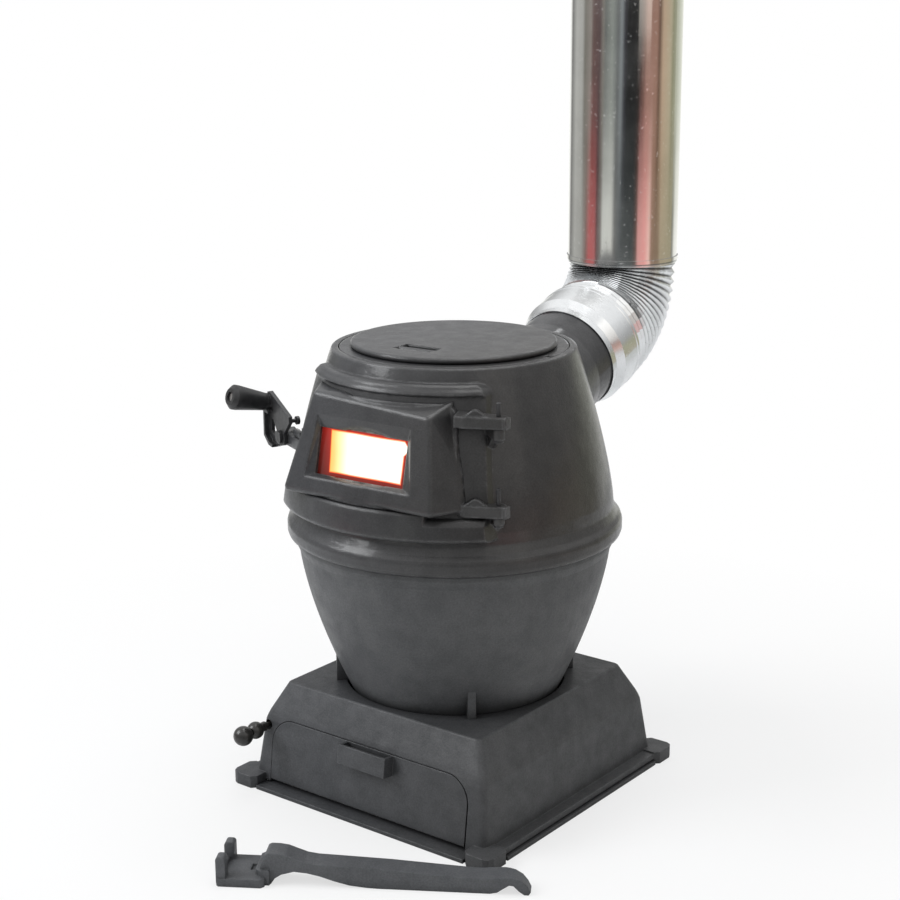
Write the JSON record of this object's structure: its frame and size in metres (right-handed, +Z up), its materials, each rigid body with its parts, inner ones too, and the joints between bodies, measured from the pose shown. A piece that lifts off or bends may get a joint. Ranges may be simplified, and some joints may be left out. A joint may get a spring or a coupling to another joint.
{
  "type": "potbelly stove",
  "caption": "Cast potbelly wood stove on a square ash base, with a windowed side-hinged door, shaking grate, ash drawer, pleated flue elbow, stovepipe and a lifter tool.",
  "frame": {"origin": "floor under the middle of the ash housing", "axes": "+Z up, the ash drawer opens towards -Y, +X to the right when facing the drawer; the drum with the door and the flue is turned 3 degrees about +Z"},
  "size_m": [0.3983, 0.7431, 0.83],
  "materials": {
    "base_iron": "satin stove paint over sand casting",
    "pot_iron": "satin stove paint, even grain",
    "drum_iron": "satin stove paint, rubbed bright on edges",
    "latch_iron": "satin black",
    "knob_iron": "semi-gloss black",
    "lifter_iron": "satin",
    "grip_black": "satin black",
    "plain_steel": "plain",
    "pan_zinc": "galvanised sheet",
    "elbow_zinc": "galvanised sheet",
    "pipe_stainless": "mirror stainless",
    "seal_rope": "glass rope",
    "fire_glass": "clear heat-proof"
  },
  "bodies": {
    "stove": {"bottom_plate": "base_iron", "plate_screws": "plain_steel", "ash_housing": "base_iron", "fire_pot": "pot_iron", "belt_seal": "seal_rope", "upper_body": "drum_iron", "hinge_pins": "latch_iron", "flue_elbow": "elbow_zinc", "stovepipe": "pipe_stainless"},
    "drawer": {"drawer_front": "base_iron", "ash_pan": "pan_zinc", "pan_rivets": "plain_steel"},
    "door": {"door_leaf": "drum_iron", "window_seal": "seal_rope", "window_glass": "fire_glass", "glass_frame": "pan_zinc", "frame_screws": "plain_steel", "latch_bolt": "latch_iron", "latch_nut": "plain_steel"},
    "latch": {"latch_lever": "latch_iron", "latch_grip": "grip_black", "grip_screw": "plain_steel"},
    "shaker": {"shaker_rod": "knob_iron", "shaker_collar": "knob_iron", "shaker_knob": "knob_iron"},
    "grate": {"grate": "pot_iron"},
    "ring": {"cover_ring": "drum_iron"},
    "lid": {"centre_lid": "drum_iron"},
    "lifter": {"lifter": "lifter_iron"}
  },
  "joints": [
    {"name": "door_hinge", "type": "hinge", "parent": "stove", "child": "door", "pos_m": [0.13423, -0.10754, 0.38], "axis": [0, 0, 1], "range_deg": [0, 110]},
    {"name": "latch_pivot", "type": "hinge", "parent": "door", "child": "latch", "pos_m": [-0.12226, -0.12098, 0.3716], "axis": [0.4226, 0.9063, 0], "range_deg": [0, 18]},
    {"name": "drawer_slide", "type": "slide", "parent": "stove", "child": "drawer", "axis": [0, -1, 0], "range_m": [0, 0.24]},
    {"name": "grate_turn", "type": "hinge", "parent": "stove", "child": "grate", "pos_m": [0, 0, 0.112], "axis": [0, 0, 1], "range_deg": [0, 12]},
    {"name": "shaker_slide", "type": "slide", "parent": "stove", "child": "shaker", "axis": [0, -1, 0], "range_m": [0, 0.024]},
    {"name": "ring_lift", "type": "slide", "parent": "stove", "child": "ring", "axis": [0, 0, 1], "range_m": [0, 0.08]},
    {"name": "lid_lift", "type": "slide", "parent": "ring", "child": "lid", "axis": [0, 0, 1], "range_m": [0, 0.08]},
    {"name": "lifter_pick_up", "type": "slide", "parent": "drawer", "child": "lifter", "axis": [0, 0, 1], "range_m": [0, 0.15]}
  ],
  "couplings": [
    {"joint": "shaker_slide", "follows": "grate_turn", "m_per_rad": 0.1144}
  ]
}
